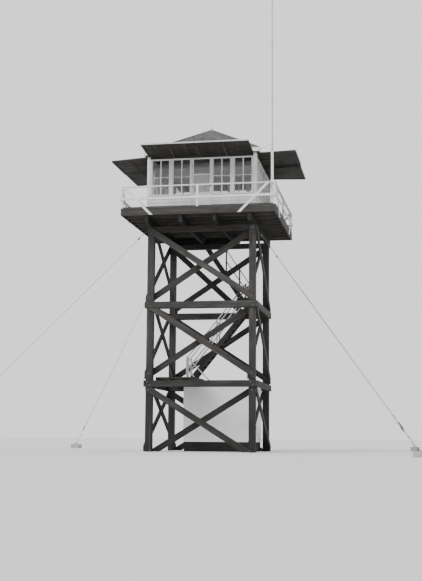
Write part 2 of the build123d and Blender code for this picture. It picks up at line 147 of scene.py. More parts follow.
def quarter_turn(points, quarter):
    """The points turned about the tower's axis by a number of quarter turns."""
    angle = quarter * math.pi / 2
    cosine, sine = math.cos(angle), math.sin(angle)
    return points @ np.array([(cosine, sine, 0), (-sine, cosine, 0), (0, 0, 1)])


def joined(*shapes):
    """Several shapes as one."""
    vertices, faces, offset = [], [], 0
    for points, polygons in shapes:
        vertices.append(points)
        faces += [[corner + offset for corner in polygon] for polygon in polygons]
        offset += len(points)
    return np.concatenate(vertices), faces


def quartered(pairs):
    """Pairs of a quarter and a shape, each turned to its side and all put together."""
    return joined(*[(quarter_turn(points, quarter), faces) for quarter, (points, faces) in pairs])


def box_faces(count):
    """Faces of boxes whose eight corners come in the order of BOX_CORNERS."""
    return np.arange(count * 8).reshape(-1, 8)[:, BOX_SIDES].reshape(-1, 4).tolist()


def tube_faces(count, rings, sides):
    """Faces of closed tubes: quads between neighbouring rings and a cap on each end."""
    index = np.arange(count * rings * sides).reshape(count, rings, sides)
    after = np.roll(index, -1, axis=2)
    skin = np.stack([index[:, :-1], after[:, :-1], after[:, 1:], index[:, 1:]], axis=-1).reshape(-1, 4)
    caps = np.concatenate([index[:, 0, ::-1], index[:, -1]])
    return skin.tolist() + caps.tolist()


def boxes(low_corners, high_corners, axes=None, origin=(0, 0, 0)):
    """Closed boxes: vertex = origin + a u + b v + c w, where (a, b, c) runs between two corners.

    The rows of axes are the unit vectors u, v and w, right-handed; without axes they are X, Y and Z.
    """
    lows, highs = np.atleast_2d(low_corners).astype(float), np.atleast_2d(high_corners).astype(float)
    points = (lows[:, None] + (highs - lows)[:, None] * BOX_CORNERS).reshape(-1, 3)
    return np.asarray(origin) + points @ (np.eye(3) if axes is None else axes), box_faces(len(lows))


def carried(profile, start, end, across, inset=0.0):
    """Closed bars: a profile carried straight from each start to each end.

    Vertex = start + t (end - start) + a across + b up, where (a, b) is a point of the profile,
    up is the unit vector square to the run and to across, and t takes the values 0 and 1, or with
    an inset four values, the outer two with the profile drawn in by that inset.
    """
    start, end, across = (np.atleast_2d(np.asarray(v, float)) for v in (start, end, across))
    count = max(len(start), len(end), len(across))
    start, end, across = (np.broadcast_to(v, (count, 3)) for v in (start, end, across))
    profile = np.broadcast_to(profile, (count, len(profile), 2))
    run = end - start
    length = np.linalg.norm(run, axis=1, keepdims=True)
    run = run / length
    across = across - run * np.sum(across * run, axis=1, keepdims=True)
    across = across / np.linalg.norm(across, axis=1, keepdims=True)
    up = np.cross(run, across)
    zero = 0 * length
    stations = [(zero, profile), (length, profile)]
    if inset:
        drawn = profile - np.sign(profile) * inset
        stations = [(zero, drawn), (zero + inset, profile), (length - inset, profile), (length, drawn)]
    rings = []
    for along, shape in stations:
        centre = start + run * along
        rings.append(centre[:, None] + shape[..., :1] * across[:, None] + shape[..., 1:] * up[:, None])
    points = np.stack(rings, axis=1)
    return points.reshape(-1, 3), tube_faces(*points.shape[:3])


def turned_solid(profile, foot, axis, sides):
    """A solid of revolution: each (radius, height) of the profile goes round the axis from the foot.

    Vertex = foot + height axis + radius (cos v side + sin v other), with v going once round.
    """
    profile = np.asarray(profile, float)
    foot = np.atleast_2d(np.asarray(foot, float))
    axis = np.broadcast_to(np.asarray(axis, float), foot.shape)
    axis = axis / np.linalg.norm(axis, axis=1, keepdims=True)
    helper = np.where(np.abs(axis[:, 2:]) < 0.9, [[0, 0, 1.0]], [[1.0, 0, 0]])
    side = np.cross(helper, axis)
    side = side / np.linalg.norm(side, axis=1, keepdims=True)
    other = np.cross(axis, side)
    v = 2 * np.pi * np.arange(sides) / sides
    ring = np.cos(v)[:, None] * side[:, None] + np.sin(v)[:, None] * other[:, None]
    points = (foot[:, None, None] + profile[:, 1][None, :, None, None] * axis[:, None, None]
              + profile[:, 0][None, :, None, None] * ring[:, None])
    return points.reshape(-1, 3), tube_faces(*points.shape[:3])


def planks(start, end, pitch, gap):
    """Left and right edges of boards laid side by side, all of one width near the pitch."""
    edges = np.linspace(start, end, max(1, round((end - start) / pitch)) + 1)
    return edges[:-1] + gap / 2, edges[1:] - gap / 2


def rectangle(width, depth):
    """Corners of a rectangle about its middle, in the order that closes a bar outwards."""
    return np.array([(-1, -1), (1, -1), (1, 1), (-1, 1)]) * np.array([width / 2, depth / 2])


def eased(width, depth, ease):
    """A rectangle with its corners cut back by the ease."""
    w, d = width / 2, depth / 2
    return np.array([(-w + ease, -d), (w - ease, -d), (w, -d + ease), (w, d - ease),
                     (w - ease, d), (-w + ease, d), (-w, d - ease), (-w, -d + ease)])


def add_piece(name, shape, finish):
    """A mesh object from a shape's points and faces, riding on the tower."""
    vertices, faces = shape
    mesh = bpy.data.meshes.new(name)
    mesh.from_pydata(np.asarray(vertices, float).reshape(-1, 3), [], faces)
    mesh.update()
    piece = bpy.data.objects.new(name, mesh)
    bpy.context.scene.collection.objects.link(piece)
    mesh.materials.append(bpy.data.materials[finish])
    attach(piece, "root")


# Nodes of the finishes

def new_material(name):
    """A material with its shader and the object's own coordinates."""
    material = bpy.data.materials.new(name)
    material.use_nodes = True
    nodes = material.node_tree.nodes
    return material, nodes["Principled BSDF"], nodes.new("ShaderNodeTexCoord").outputs["Object"]


def feed(socket, value):
    """Give a socket its value: a constant, or the output that it is linked to."""
    if isinstance(value, bpy.types.NodeSocket):
        socket.id_data.links.new(value, socket)
    else:
        socket.default_value = value


def add_node(kind, inputs, **settings):
    """A new node with the given inputs and settings, in the tree of the outputs that feed it."""
    tree = next(value.id_data for value in inputs.values() if isinstance(value, bpy.types.NodeSocket))
    node = tree.nodes.new("ShaderNode" + kind)
    for name, value in settings.items():
        setattr(node, name, value)
    for name, value in inputs.items():
        feed(node.inputs[name], value)
    return node


def mapped(vector, scale, rotation=(0, 0, 0)):
    """The coordinates turned and stretched."""
    return add_node("Mapping", {"Vector": vector, "Scale": scale, "Rotation": rotation}).outputs["Vector"]


def noise(vector, scale, detail=4.0, roughness=0.55):
    """A fractal noise value on the given coordinates."""
    inputs = {"Vector": vector, "Scale": scale, "Detail": detail, "Roughness": roughness}
    return add_node("TexNoise", inputs).outputs["Fac"]


def ramp(value, stops):
    """Colours along a value, each stop a place and a colour."""
    node = add_node("ValToRGB", {"Fac": value})
    elements = node.color_ramp.elements
    while len(elements) < len(stops):
        elements.new(0.5)
    for element, (place, colour) in zip(elements, stops):
        element.position = place
        element.color = (*colour, 1.0)
    return node.outputs["Color"]


def grey(value, warmth=0.0):
    """A near-neutral colour, a little warmer with warmth."""
    return (value * (1 + warmth), value, value * (1 - warmth))


def tones(value, *stops, warmth=0.0):
    """Greys along a value, each stop a place and a tone."""
    return ramp(value, [(place, grey(tone, warmth)) for place, tone in stops])


def blended(kind, first, second, amount):
    """Two colours put together by a blend kind; the amount is a number or a value."""
    inputs = {"Factor": amount, 6: first, 7: second}
    return add_node("Mix", inputs, data_type="RGBA", blend_type=kind).outputs[2]


def darkened(base, shade, amount=1.0):
    """A colour multiplied by a shade."""
    return blended("MULTIPLY", base, shade, amount)


def coated(shader, colour, roughness, height=None, strength=0.0, distance=0.0):
    """Give a shader its colour and roughness, and bump where there is a height value."""
    feed(shader.inputs["Base Color"], colour)
    feed(shader.inputs["Roughness"], roughness)
    if height is not None:
        inputs = {"Strength": strength, "Distance": distance, "Height": height}
        feed(shader.inputs["Normal"], add_node("Bump", inputs).outputs["Normal"])


def math_node(operation, *values):
    """A value worked out from one or two others, each a number or an output."""
    return add_node("Math", dict(enumerate(values)), operation=operation).outputs[0]


def split_axes(vector):
    """The three values of a vector."""
    return add_node("SeparateXYZ", {"Vector": vector}).outputs


def level_between(coordinates, foot, head):
    """0 at one level and 1 at a higher one, with the levels between in step."""
    inputs = {"Value": split_axes(coordinates)["Z"], "From Min": foot, "From Max": head}
    return add_node("MapRange", inputs).outputs["Result"]


def choice(which, first, second):
    """The first vector where the value is 0 and the second where it is 1."""
    return add_node("Mix", {"Factor": which, 4: first, 5: second}, data_type="VECTOR").outputs[1]


def beyond(coordinates, axis, middle, limit):
    """1 where an axis is further from its middle than the limit, otherwise 0."""
    distance = math_node("SUBTRACT", split_axes(coordinates)[axis], float(middle))
    return math_node("GREATER_THAN", math_node("ABSOLUTE", distance), float(limit))


# Grain of the timbers and boards

def slanting(coordinates, along, degrees):
    """Coordinates drawn out along a line in a face's plane that climbs by an angle, or falls by it."""
    angle = math.radians(degrees)
    turned = mapped(coordinates, (1, 1, 1), (0, angle, 0) if along == "X" else (-angle, 0, 0))
    return mapped(turned, ALONG_X if along == "X" else ALONG_Y)


def brace_grain(along, outside_climb):
    """Grain along crossed braces, which slope one way outside the legs and the other way inside."""
    across = "Y" if along == "X" else "X"

    def place(coordinates):
        slopes = [slanting(coordinates, along, climb) for climb in (-outside_climb, outside_climb)]
        return choice(beyond(coordinates, across, 0, LEG_CENTRE), *slopes)
    return place


def stringer_grain(coordinates):
    """Grain along the flights: the middle one climbs to the right and the others to the left."""
    outer = beyond(coordinates, "Z", (LOWER_LANDING + UPPER_LANDING) / 2, GIRT_SPACING / 2)
    slopes = [slanting(coordinates, "X", climb) for climb in (FLIGHT_CLIMB, -FLIGHT_CLIMB)]
    return choice(outer, *slopes)


def sided_grain(front, side):
    """One stretch on the front and back of the tower and another on its two sides."""
    def place(coordinates):
        axes = split_axes(coordinates)
        x, y = (math_node("ABSOLUTE", axes[axis]) for axis in "XY")
        stretches = [mapped(coordinates, stretch) for stretch in (front, side)]
        return choice(math_node("GREATER_THAN", x, y), *stretches)
    return place


def banded_grain(axis, middle, limit, within, outside):
    """One stretch within a limit of a plane square to an axis and another beyond it."""
    def place(coordinates):
        stretches = [mapped(coordinates, stretch) for stretch in (within, outside)]
        return choice(beyond(coordinates, axis, middle, limit), *stretches)
    return place


def walled_grain(node):
    """Grain along the four walls of a box: along X, and along Y on its two ends."""
    left, right = low(node)[0], high(node)[0]
    return banded_grain("X", (left + right) / 2, (right - left) / 2 - 0.01, ALONG_X, ALONG_Y)


def grain_place(coordinates, grain):
    """Coordinates drawn out along the grain, which is a stretch or a function that maps them."""
    return grain(coordinates) if callable(grain) else mapped(coordinates, grain)


# Finishes

def timber(name, tone, direction, gloss=0.25, across=None):
    """Creosoted timber: drawn-out grain, paler worn streaks and stains, darker towards the ground.

    With the axis across a face, the planks inside the legs get painted shade, darker than the outside ones.
    """
    material, shader, coordinates = new_material(name)
    warmth = 0.05
    place = grain_place(coordinates, direction)
    grain = noise(place, 38, 6, 0.62)
    broad = noise(coordinates, 1.7, 3)
    wear = noise(place, 9, 5, 0.6)
    base = tones(grain, (0.3, tone * 0.55), (0.55, tone), (0.78, tone * 1.5), warmth=warmth)
    base = darkened(base, tones(broad, (0.3, 0.62), (0.7, 1.0)), 0.8)
    worn = tones(grain, (0.2, tone * 1.6), (0.8, tone * 2.3), warmth=warmth)
    base = blended("MIX", base, worn, tones(wear, (0.56, 0.0), (0.8, 1.0)))
    level = level_between(coordinates, 0.0, 9.0)
    base = darkened(base, tones(level, (0, 0.48), (0.29, 0.66), (0.46, 0.88), (0.7, 1.0)))
    # painted shade: the planks inside the legs are darkened as if shaded by the outer planks and legs
    if across:
        outside = beyond(coordinates, across, 0, LEG_CENTRE)
        base = darkened(base, tones(outside, (0, 0.7), (1, 1.0)))
    shader.inputs["Specular IOR Level"].default_value = gloss
    coated(shader, base, 0.82, grain, 0.5, 0.004)
    return material


def board_paint(name, tone, direction, weathering=0.35, dark_above=None):
    """White board paint: thin over grain, chalky, with grey streaks; above a level it turns a dark
    brown-grey.
    """
    material, shader, coordinates = new_material(name)
    grain = noise(grain_place(coordinates, direction), 45, 5, 0.6)
    broad = noise(coordinates, 2.3, 4)
    streak = noise(mapped(coordinates, (6, 6, 0.5)), 3, 5, 0.6)
    base = tones(grain, (0.2, tone * 0.9), (0.6, tone), warmth=0.01)
    base = darkened(base, tones(broad, (0.25, 1 - weathering * 0.6), (0.6, 1.0)))
    base = darkened(base, tones(streak, (0.3, 1 - weathering * 0.5), (0.62, 1.0)))
    # above the level the colour turns a dark brown-grey
    if dark_above is not None:
        above = math_node("GREATER_THAN", split_axes(coordinates)["Z"], dark_above)
        bare = tones(grain, (0.3, 0.035), (0.7, 0.09), warmth=0.05)
        base = blended("MIX", base, bare, above)
    coated(shader, base, 0.6, grain, 0.25, 0.002)
    return material


def shingle_finish(name):
    """Weathered shingles: each with its own grey, drawn-out grain and dark stains."""
    material, shader, coordinates = new_material(name)
    cells = add_node("TexVoronoi", {"Vector": mapped(coordinates, (1, 1, 1.7)), "Scale": 7.5})
    grain = noise(mapped(coordinates, (1, 1, 0.15)), 60, 4, 0.6)
    broad = noise(coordinates, 1.2, 4)
    base = tones(grain, (0.25, 0.055), (0.75, 0.145), warmth=0.02)
    base = darkened(base, tones(cells.outputs["Color"], (0.1, 0.62), (0.9, 1.35)), 0.85)
    base = darkened(base, tones(broad, (0.35, 0.6), (0.65, 1.1)), 0.7)
    coated(shader, base, 0.85, grain, 0.4, 0.004)
    return material


def metal_finish(name, tone, roughness, metallic=0.9):
    """Galvanised or painted metal, mottled."""
    material, shader, coordinates = new_material(name)
    spots = noise(coordinates, 25, 4)
    base = tones(spots, (0.3, tone * 0.75), (0.7, tone * 1.15))
    coated(shader, base, tones(spots, (0.3, roughness * 0.85), (0.7, roughness * 1.15)))
    shader.inputs["Metallic"].default_value = metallic
    return material


def concrete_finish(name):
    """Cast concrete, pale with pores and damp marks."""
    material, shader, coordinates = new_material(name)
    fine = noise(coordinates, 60, 6, 0.7)
    broad = noise(coordinates, 4, 4)
    base = tones(fine, (0.3, 0.3), (0.7, 0.46), warmth=0.02)
    base = darkened(base, tones(broad, (0.3, 0.7), (0.7, 1.0)), 0.8)
    coated(shader, base, 0.9, fine, 0.5, 0.004)
    return material


def screen_finish(name):
    """Fine wire screen: pale, dull and mostly open, a little stained."""
    material, shader, coordinates = new_material(name)
    coated(shader, tones(noise(coordinates, 9, 4), (0.3, 0.5), (0.7, 0.57)), 0.7)
    shader.inputs["Alpha"].default_value = 0.34
    return material


def glass_finish(name):
    """Thin window glass, faintly dusty, darker in the shade under the shutters."""
    material, shader, coordinates = new_material(name)
    rough = tones(noise(coordinates, 6, 4), (0.3, 0.02), (0.8, 0.09))
    shade = level_between(coordinates, SHADE_FOOT, SHADE_HEAD)
    tint = ramp(shade, [(0, (0.96, 0.98, 0.97)), (1, (0.31, 0.32, 0.32))])
    coated(shader, tint, rough)
    shader.inputs["Transmission Weight"].default_value = 1.0
    shader.inputs["IOR"].default_value = 1.45
    return material


# Settings

class LookoutSizes(bpy.types.PropertyGroup):
    """Sizes of the boards, shingles and hardware."""
    siding_exposure: FloatProperty(name="Siding exposure", description="Height of each lapped siding board",
                                   default=0.115, min=0.05, max=0.3, subtype="DISTANCE", unit="LENGTH")
    shingle_exposure: FloatProperty(name="Shingle exposure", description="Length of each course that shows",
                                    default=0.127, min=0.05, max=0.3, subtype="DISTANCE", unit="LENGTH")
    shingle_width: FloatProperty(name="Shingle width", description="Mean width of a shingle",
                                 default=0.13, min=0.05, max=0.3, subtype="DISTANCE", unit="LENGTH")
    deck_board: FloatProperty(name="Deck board", description="Width of a catwalk board",
                              default=0.14, min=0.08, max=0.3, subtype="DISTANCE", unit="LENGTH")
    bolt_radius: FloatProperty(name="Bolt head", description="Radius of the bolt heads on the timbers",
                               default=0.018, min=0.005, max=0.05, subtype="DISTANCE", unit="LENGTH")
    seed: IntProperty(name="Seed", description="Number that fixes the shingles' widths", default=7, min=0)


class LookoutColours(bpy.types.PropertyGroup):
    """Tones of the finishes."""
    timber_tone: FloatProperty(name="Timber", description="Tone of the creosoted timbers",
                               default=0.047, min=0.005, max=0.5)
    beam_tone: FloatProperty(name="Platform edge", description="Tone of the weathered platform boards",
                             default=0.05, min=0.005, max=0.5)
    paint_tone: FloatProperty(name="Paint", description="Tone of the white paint",
                              default=0.74, min=0.1, max=0.95)
    floor_colour: FloatVectorProperty(name="Floor", description="Colour of the stage floor", subtype="COLOR",
                                      default=(0.62, 0.62, 0.61), min=0, max=1)


# Steps

def four(kind):
    """Names of the nodes of a kind on the four sides."""
    return [kind + "_" + face for face in ("front", "right", "back", "left")]


class TOWER_OT_finishes(bpy.types.Operator):
    """Make the finishes and give every solid its own"""
    bl_idname = "tower.finishes"
    bl_label = "Finishes"

    def braces(self, tone):
        """Each side's brace finish with its node."""
        sides = [("front", "X", "Y", -BRACE_CLIMB, 1.15), ("back", "X", "Y", BRACE_CLIMB, 1),
                 ("right", "Y", "X", -BRACE_CLIMB, 1), ("left", "Y", "X", BRACE_CLIMB, 1)]
        finishes = []
        for face, along, across, climb, shade in sides:
            grain = brace_grain(along, climb)
            material = timber("creosoted_brace_" + face, tone * shade, grain, across=across)
            finishes.append((material, ["braces_" + face]))
        return finishes

    def wood(self, tone, beam):
        """Each other bare wood finish with its nodes."""
        along, outward = sided_grain(ALONG_X, ALONG_Y), sided_grain(ALONG_Y, ALONG_X)
        half, shaded = GIRDER_THICKNESS / 2, 0.06
        # the hatch's header runs across the girders
        header = banded_grain("Y", HATCH_LOW[1] - half, half, ALONG_X, ALONG_Y)
        base = walled_grain("enclosure_base")
        return [
            (timber("creosoted_post", tone, VERTICAL), ["legs"]),
            (timber("creosoted_beam_x", tone, ALONG_X), ["girts_front", "girts_back", "inner_girts"]),
            (timber("creosoted_beam_y", tone, ALONG_Y), ["girts_left", "girts_right", "stair_treads"]),
            (timber("creosoted_stringer", tone, stringer_grain), ["stair_stringers"]),
            # painted shade: the cap beams and girders are made darker for the shade under the catwalk
            (timber("creosoted_cap_painted_shade", tone * 0.9, ALONG_X, shaded), ["cap_beams"]),
            (timber("creosoted_girder_painted_shade", tone * 0.6, header, shaded), ["floor_girders"]),
            (timber("creosoted_joist", tone * 1.8, ALONG_X, shaded), ["floor_joists", "platform_deck"]),
            # painted shade: the props get a dim grey for the shade under the shutters
            (timber("shutter_prop_wood_painted_shade", 0.11, ALONG_X), ["shutter_props"]),
            (timber("weathered_edge", beam, along), ["platform_rim"]),
            (timber("weathered_landing", beam, ALONG_Y), ["stair_landings"]),
            (timber("landing_plank_wood", beam, ALONG_X), []),
            (timber("enclosure_base_wood", beam, base), ["enclosure_base"]),
            (timber("weathered_boards", beam * 2.2, ALONG_Y), ["cab_floor"]),
            (timber("shutter_underside", tone * 1.05, outward, 0.1), four("shutters")),
            (timber("shutter_frame_wood", tone * 1.05, along, 0.1), []),
        ]

    def paint(self, tone):
        """Each painted finish with its nodes."""
        along, outward = sided_grain(ALONG_X, ALONG_Y), sided_grain(ALONG_Y, ALONG_X)
        screen, thin = walled_grain("stair_enclosure"), tone * 0.8
        return [
            (board_paint("board_paint", tone, along), four("wall") + four("railing")),
            (board_paint("post_paint", tone, VERTICAL), ["window_sashes", "mast_post", "door"]),
            (board_paint("stair_rail_paint", thin, ALONG_X, 0.4, 5.95), ["stair_handrails"]),
            # painted light: the enclosure's paint is brightened to make up for the shade under the platform
            # and girts
            (board_paint("screen_paint_painted_light", tone * 1.26, screen, 0.1), ["stair_enclosure", "enclosure_door"]),
            (board_paint("shutter_trim", thin, outward, 0.6), []),
            (board_paint("inside_paint", tone * 0.75, ALONG_X, 0.2), ["cab_ceiling"]),
        ]

    def others(self):
        """Each other finish with its nodes."""
        return [
            (shingle_finish("weathered_shingles"), ["roof"]),
            (metal_finish("galvanised_steel", 0.4, 0.45), ["radio_mast", "lightning_rod"]),
            (metal_finish("bolt_steel", 0.09, 0.6, 0.6), ["guy_wires"]),
            (concrete_finish("anchor_concrete"), ["guy_anchors"]),
            (screen_finish("wire_screen_finish"), []),
            (glass_finish("window_glass_finish"), ["window_glass"]),
        ]

    def execute(self, context):
        colours = context.scene.lookout_colours
        tone = colours.timber_tone
        finishes = self.braces(tone) + self.wood(tone, colours.beam_tone)
        finishes += self.paint(colours.paint_tone) + self.others()
        bare = set(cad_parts)
        for material, nodes in finishes:
            for node in nodes:
                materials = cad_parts[node].data.materials
                materials.clear()
                materials.append(material)
                bare.remove(node)
        if bare:
            raise RuntimeError("no finish for " + ", ".join(sorted(bare)))
        return {"FINISHED"}


class TOWER_OT_shingles(bpy.types.Operator):
    """Lay the roof's shingles in courses on the four slopes and cap the hips"""
    bl_idname = "tower.shingles"
    bl_label = "Roof shingles"

    def course(self, number, sizes, random, slope_length):
        """Shingles of one course: each a wedge from its butt to its top, clipped by the hips.

        Vertex = (place across, distance up the slope, height off the slope).
        """
        foot = number * sizes.shingle_exposure
        half = HALF_ROOF * (1 - foot / slope_length) - 0.004
        count = max(2, int(2 * half / sizes.shingle_width))
        edges = np.linspace(-half, half, count + 1)
        edges[1:-1] += random.uniform(-0.3, 0.3, count - 1) * sizes.shingle_width
        gap = 0.0025
        left, right = edges[:-1] + gap, edges[1:] - gap
        top = foot + np.minimum(sizes.shingle_exposure * 1.06, slope_length - foot)
        half_above = HALF_ROOF * (1 - top / slope_length)
        top_left = np.clip(left, -half_above, half_above)
        top_right = np.clip(right, -half_above, half_above)
        keep = top_right - top_left > 0.004
        left, right, top_left, top_right = (v[keep] for v in (left, right, top_left, top_right))
        lift = 0.011 + random.uniform(0, 0.003, len(left))
        butt = foot + random.uniform(-0.004, 0.004, len(left)) * (number > 0)
        under, thin = 0.001, 0.004
        outline = [(left, butt), (right, butt), (top_right, top), (top_left, top)]
        heights = [under] * 4 + [lift] * 2 + [thin] * 2
        corners = [rows(x, y, height) for (x, y), height in zip(outline * 2, heights)]
        return np.stack(corners, axis=1).reshape(-1, 3)

    def execute(self, context):
        sizes = context.scene.lookout_sizes
        random = np.random.default_rng(sizes.seed)
        rise = APEX - EAVE_TOP
        slope_length = math.hypot(HALF_ROOF, rise)
        axes = np.array([(slope_length, 0, 0), (0, HALF_ROOF, rise), (0, -rise, HALF_ROOF)]) / slope_length
        shingles = []
        for quarter in range(4):
            for number in range(int(slope_length / sizes.shingle_exposure)):
                local = self.course(number, sizes, random, slope_length)
                if len(local):
                    points = np.array([0, -HALF_ROOF, EAVE_TOP]) + local @ axes
                    shingles.append((quarter, (points, box_faces(len(points) // 8))))
        add_piece("roof_shingles", quartered(shingles), "weathered_shingles")

        foot = np.array([-HALF_ROOF, -HALF_ROOF, EAVE_TOP])
        hip = np.array([0, 0, APEX]) - foot
        exposure = sizes.shingle_exposure / np.linalg.norm(hip)
        along = np.arange(int(1 / exposure))[:, None] * exposure
        overlap, last, width = 1.3, 0.985, 0.11
        start, end = foot + hip * along, foot + hip * np.minimum(along + overlap * exposure, last)
        caps = []
        for quarter in range(4):
            for across in np.eye(3)[:2]:
                offset = across * width / 2 + np.array([0, 0, 0.012])
                butt = start + offset + np.array([0, 0, 0.006])
                caps.append((quarter, carried(rectangle(width, 0.009), butt, end + offset, across)))
        add_piece("roof_hip_caps", quartered(caps), "weathered_shingles")
        return {"FINISHED"}


class TOWER_OT_siding(bpy.types.Operator):
    """Lap siding boards up the cab's walls and the enclosure"""
    bl_idname = "tower.siding"
    bl_label = "Siding"

    def lapped(self, left, right, face, foot, head, exposure):
        """Boards lapped like clapboards: a wedge 16 mm thick at the butt, carried from left to right."""
        count = max(1, round((head - foot) / exposure))
        step = (head - foot) / count
        level = foot + step * np.arange(count)
        wedge = np.array([(0.0, 0.0), (0.0, -step), (0.005, -step), (0.016, 0.0)])
        return carried(wedge, rows(left, face, level), rows(right, face, level), (0, -1, 0))

    def cab(self, exposure):
        """Siding between the corner boards, below the windows and beside the door."""
        corner, doorway = HALF_CAB - 0.11, DOOR_WIDTH / 2 + DOOR_SIDE_WALL
        spans = [(0, -corner, -doorway), (0, doorway, corner)]
        spans += [(quarter, -corner, corner) for quarter in (1, 2, 3)]
        foot, head = DECK_TOP + 0.004, SILL_LEVEL - 0.05
        return quartered([(quarter, self.lapped(left, right, WALL_FACE, foot, head, exposure))
                          for quarter, left, right in spans])

    def enclosure(self, exposure):
        """Siding round the enclosure, with room for its door on the left end."""
        box_low, box_high = low("stair_enclosure"), high("stair_enclosure")
        door_low, door_high = low("enclosure_door"), high("enclosure_door")
        middle, half = (box_low + box_high) / 2, (box_high - box_low) / 2
        gap, corner = 0.02, 0.05
        long, short = half[0] - corner, half[1] - corner
        door_left, door_right = middle[1] - door_high[1] - gap, middle[1] - door_low[1] + gap
        side, end, foot, over_door = -half[1], -half[0], box_low[2], door_high[2] + gap
        spans = [(0, -long, long, side, foot), (2, -long, long, side, foot), (1, -short, short, end, foot),
                 (3, -short, door_left, end, foot), (3, door_right, short, end, foot),
                 (3, door_left, door_right, end, over_door)]
        head = box_high[2] - 0.004
        points, faces = quartered([(quarter, self.lapped(left, right, face, level + 0.004, head, exposure))
                                   for quarter, left, right, face, level in spans])
        return points + middle * (1, 1, 0), faces

    def execute(self, context):
        exposure = context.scene.lookout_sizes.siding_exposure
        add_piece("cab_siding", self.cab(exposure), "board_paint")
        add_piece("enclosure_siding", self.enclosure(exposure), "screen_paint_painted_light")
        return {"FINISHED"}


class TOWER_OT_trim(bpy.types.Operator):
    """Corner boards, window casings, sills, eave boards, ledges and window bars of the cab"""
    bl_idname = "tower.trim"
    bl_label = "Cab trim"

    def uprights(self, section, x, foot, head):
        """Boards that stand on end against the wall at each x."""
        y = WALL_FACE - section[1] / 2
        return carried(eased(*section), rows(x, y, foot), rows(x, y, head), (1, 0, 0), 0.002)

    def level_boards(self, section, left, right, y, z, inset=0.0):
        """Boards that run level from each left end to its right end."""
        return carried(eased(*section), rows(left, y, z), rows(right, y, z), (0, 0, 1), inset)

    def execute(self, context):
        # each section: its width, its depth and how far its corners are cut back
        corner, casing, doorway = (0.108, 0.022, 0.003), (0.04, 0.018, 0.002), (0.054, 0.022, 0.003)
        sill, ledge, bar = (0.045, 0.04, 0.004), (0.092, 0.024, 0.003), (0.024, 0.028, 0.005)
        fascia = (EAVE_TOP - WALL_TOP - 0.012, 0.018, 0.003)
        deck, head, eave = DECK_TOP + 0.003, HEAD_LEVEL + 0.01, HALF_ROOF + 0.009
        corner_place, corner_head = HALF_CAB - 0.055, HINGE_LEVEL - SHUTTER_DEPTH - 0.006
        sill_place = (WALL_FACE - sill[1] / 2, SILL_LEVEL - sill[0] / 2)
        ledge_end, door_sill = corner_place - 0.056, DOOR_WIDTH / 2 + 0.055
        ends = np.array([-1, 1])
        boards, ledges, bars = [], [], []
        for quarter in range(4):
            centres = FRONT_CENTRES if quarter == 0 else SIDE_CENTRES
            casings = (centres[:, None] + ends * (WINDOW_WIDTH / 2 + 0.02)).ravel()
            reach = centres[-1] + WINDOW_WIDTH / 2 + 0.04
            sills = [(-reach, -door_sill), (door_sill, reach)] if quarter == 0 else [(-reach, reach)]
            pieces = [self.uprights(corner, ends * corner_place, deck, corner_head),
                      self.uprights(casing, casings, SILL_LEVEL, head)]
            pieces += [self.level_boards(sill, *span, *sill_place, 0.003) for span in sills]
            pieces.append(self.level_boards(fascia, -eave, eave, -eave, (EAVE_TOP + WALL_TOP) / 2 - 0.004))
            if quarter == 0:
                pieces.append(self.uprights(doorway, ends * (DOOR_WIDTH / 2 + 0.027), deck, head))
            boards += [(quarter, piece) for piece in pieces]
            ledges.append((quarter, self.level_boards(ledge, -ledge_end, ledge_end, WALL_FACE - ledge[1] / 2,
                                                      HEAD_LEVEL + 0.066, 0.003)))
            panes = (centres[:, None] + ends * (MEETING_STILE + PANE_WIDTH) / 2).ravel()
            bars.append((quarter, self.level_boards(bar, panes - PANE_WIDTH / 2, panes + PANE_WIDTH / 2,
                                                    WALL_FACE + 0.055, (SILL_LEVEL + HEAD_LEVEL) / 2)))
        add_piece("cab_trim", quartered(boards), "post_paint")
        add_piece("shutter_ledges", quartered(ledges), "shutter_frame_wood")
        add_piece("window_bars", quartered(bars), "post_paint")
        return {"FINISHED"}


class TOWER_OT_boards(bpy.types.Operator):
    """Lay boards over the catwalk round its hatch and over the stair landings, and edge the platform"""
    bl_idname = "tower.boards"
    bl_label = "Deck boards"

    def catwalk(self):
        """The catwalk in rectangles round the cab and the hatch: left, front, right, back and top."""
        outer, wall = HALF_PLATFORM, HALF_CAB
        (left, front), (right, back) = HATCH_LOW, HATCH_HIGH
        fields = [(-outer, -outer, -wall, outer), (wall, -outer, outer, outer), (-wall, -outer, wall, -wall),
                  (-wall, wall, left, outer), (right, wall, wall, outer), (left, wall, right, front),
                  (left, back, right, outer)]
        return [(*field, DECK_TOP) for field in fields]

    def decking(self, fields, across, pitch):
        """Boards 8 mm thick over each field, laid side by side across X (0) or across Y (1)."""
        parts = []
        for *places, top in fields:
            lows, highs = places[:2], places[2:]
            lows[across], highs[across] = planks(lows[across], highs[across], pitch, 0.006)
            parts.append(boxes(rows(*lows, top), rows(*highs, top + 0.008)))
        return joined(*parts)

    def edge_strips(self):
        """A strip along each edge of the platform, the side ones between the other two."""
        edge, width, height = HALF_PLATFORM - 0.002, 0.048, 0.05
        y, z = width / 2 - edge, DECK_TOP + height / 2
        section, strips = eased(width, height, 0.004), []
        for quarter in range(4):
            reach = edge - width * (quarter % 2)
            strips.append((quarter, carried(section, (-reach, y, z), (reach, y, z), (0, 1, 0))))
        return quartered(strips)

    def execute(self, context):
        pitch = context.scene.lookout_sizes.deck_board
        add_piece("deck_planks", self.decking(self.catwalk(), 0, pitch), "weathered_boards")
        add_piece("landing_planks", self.decking(LANDINGS, 1, pitch), "landing_plank_wood")
        add_piece("deck_edge_strips", self.edge_strips(), "weathered_edge")
        return {"FINISHED"}


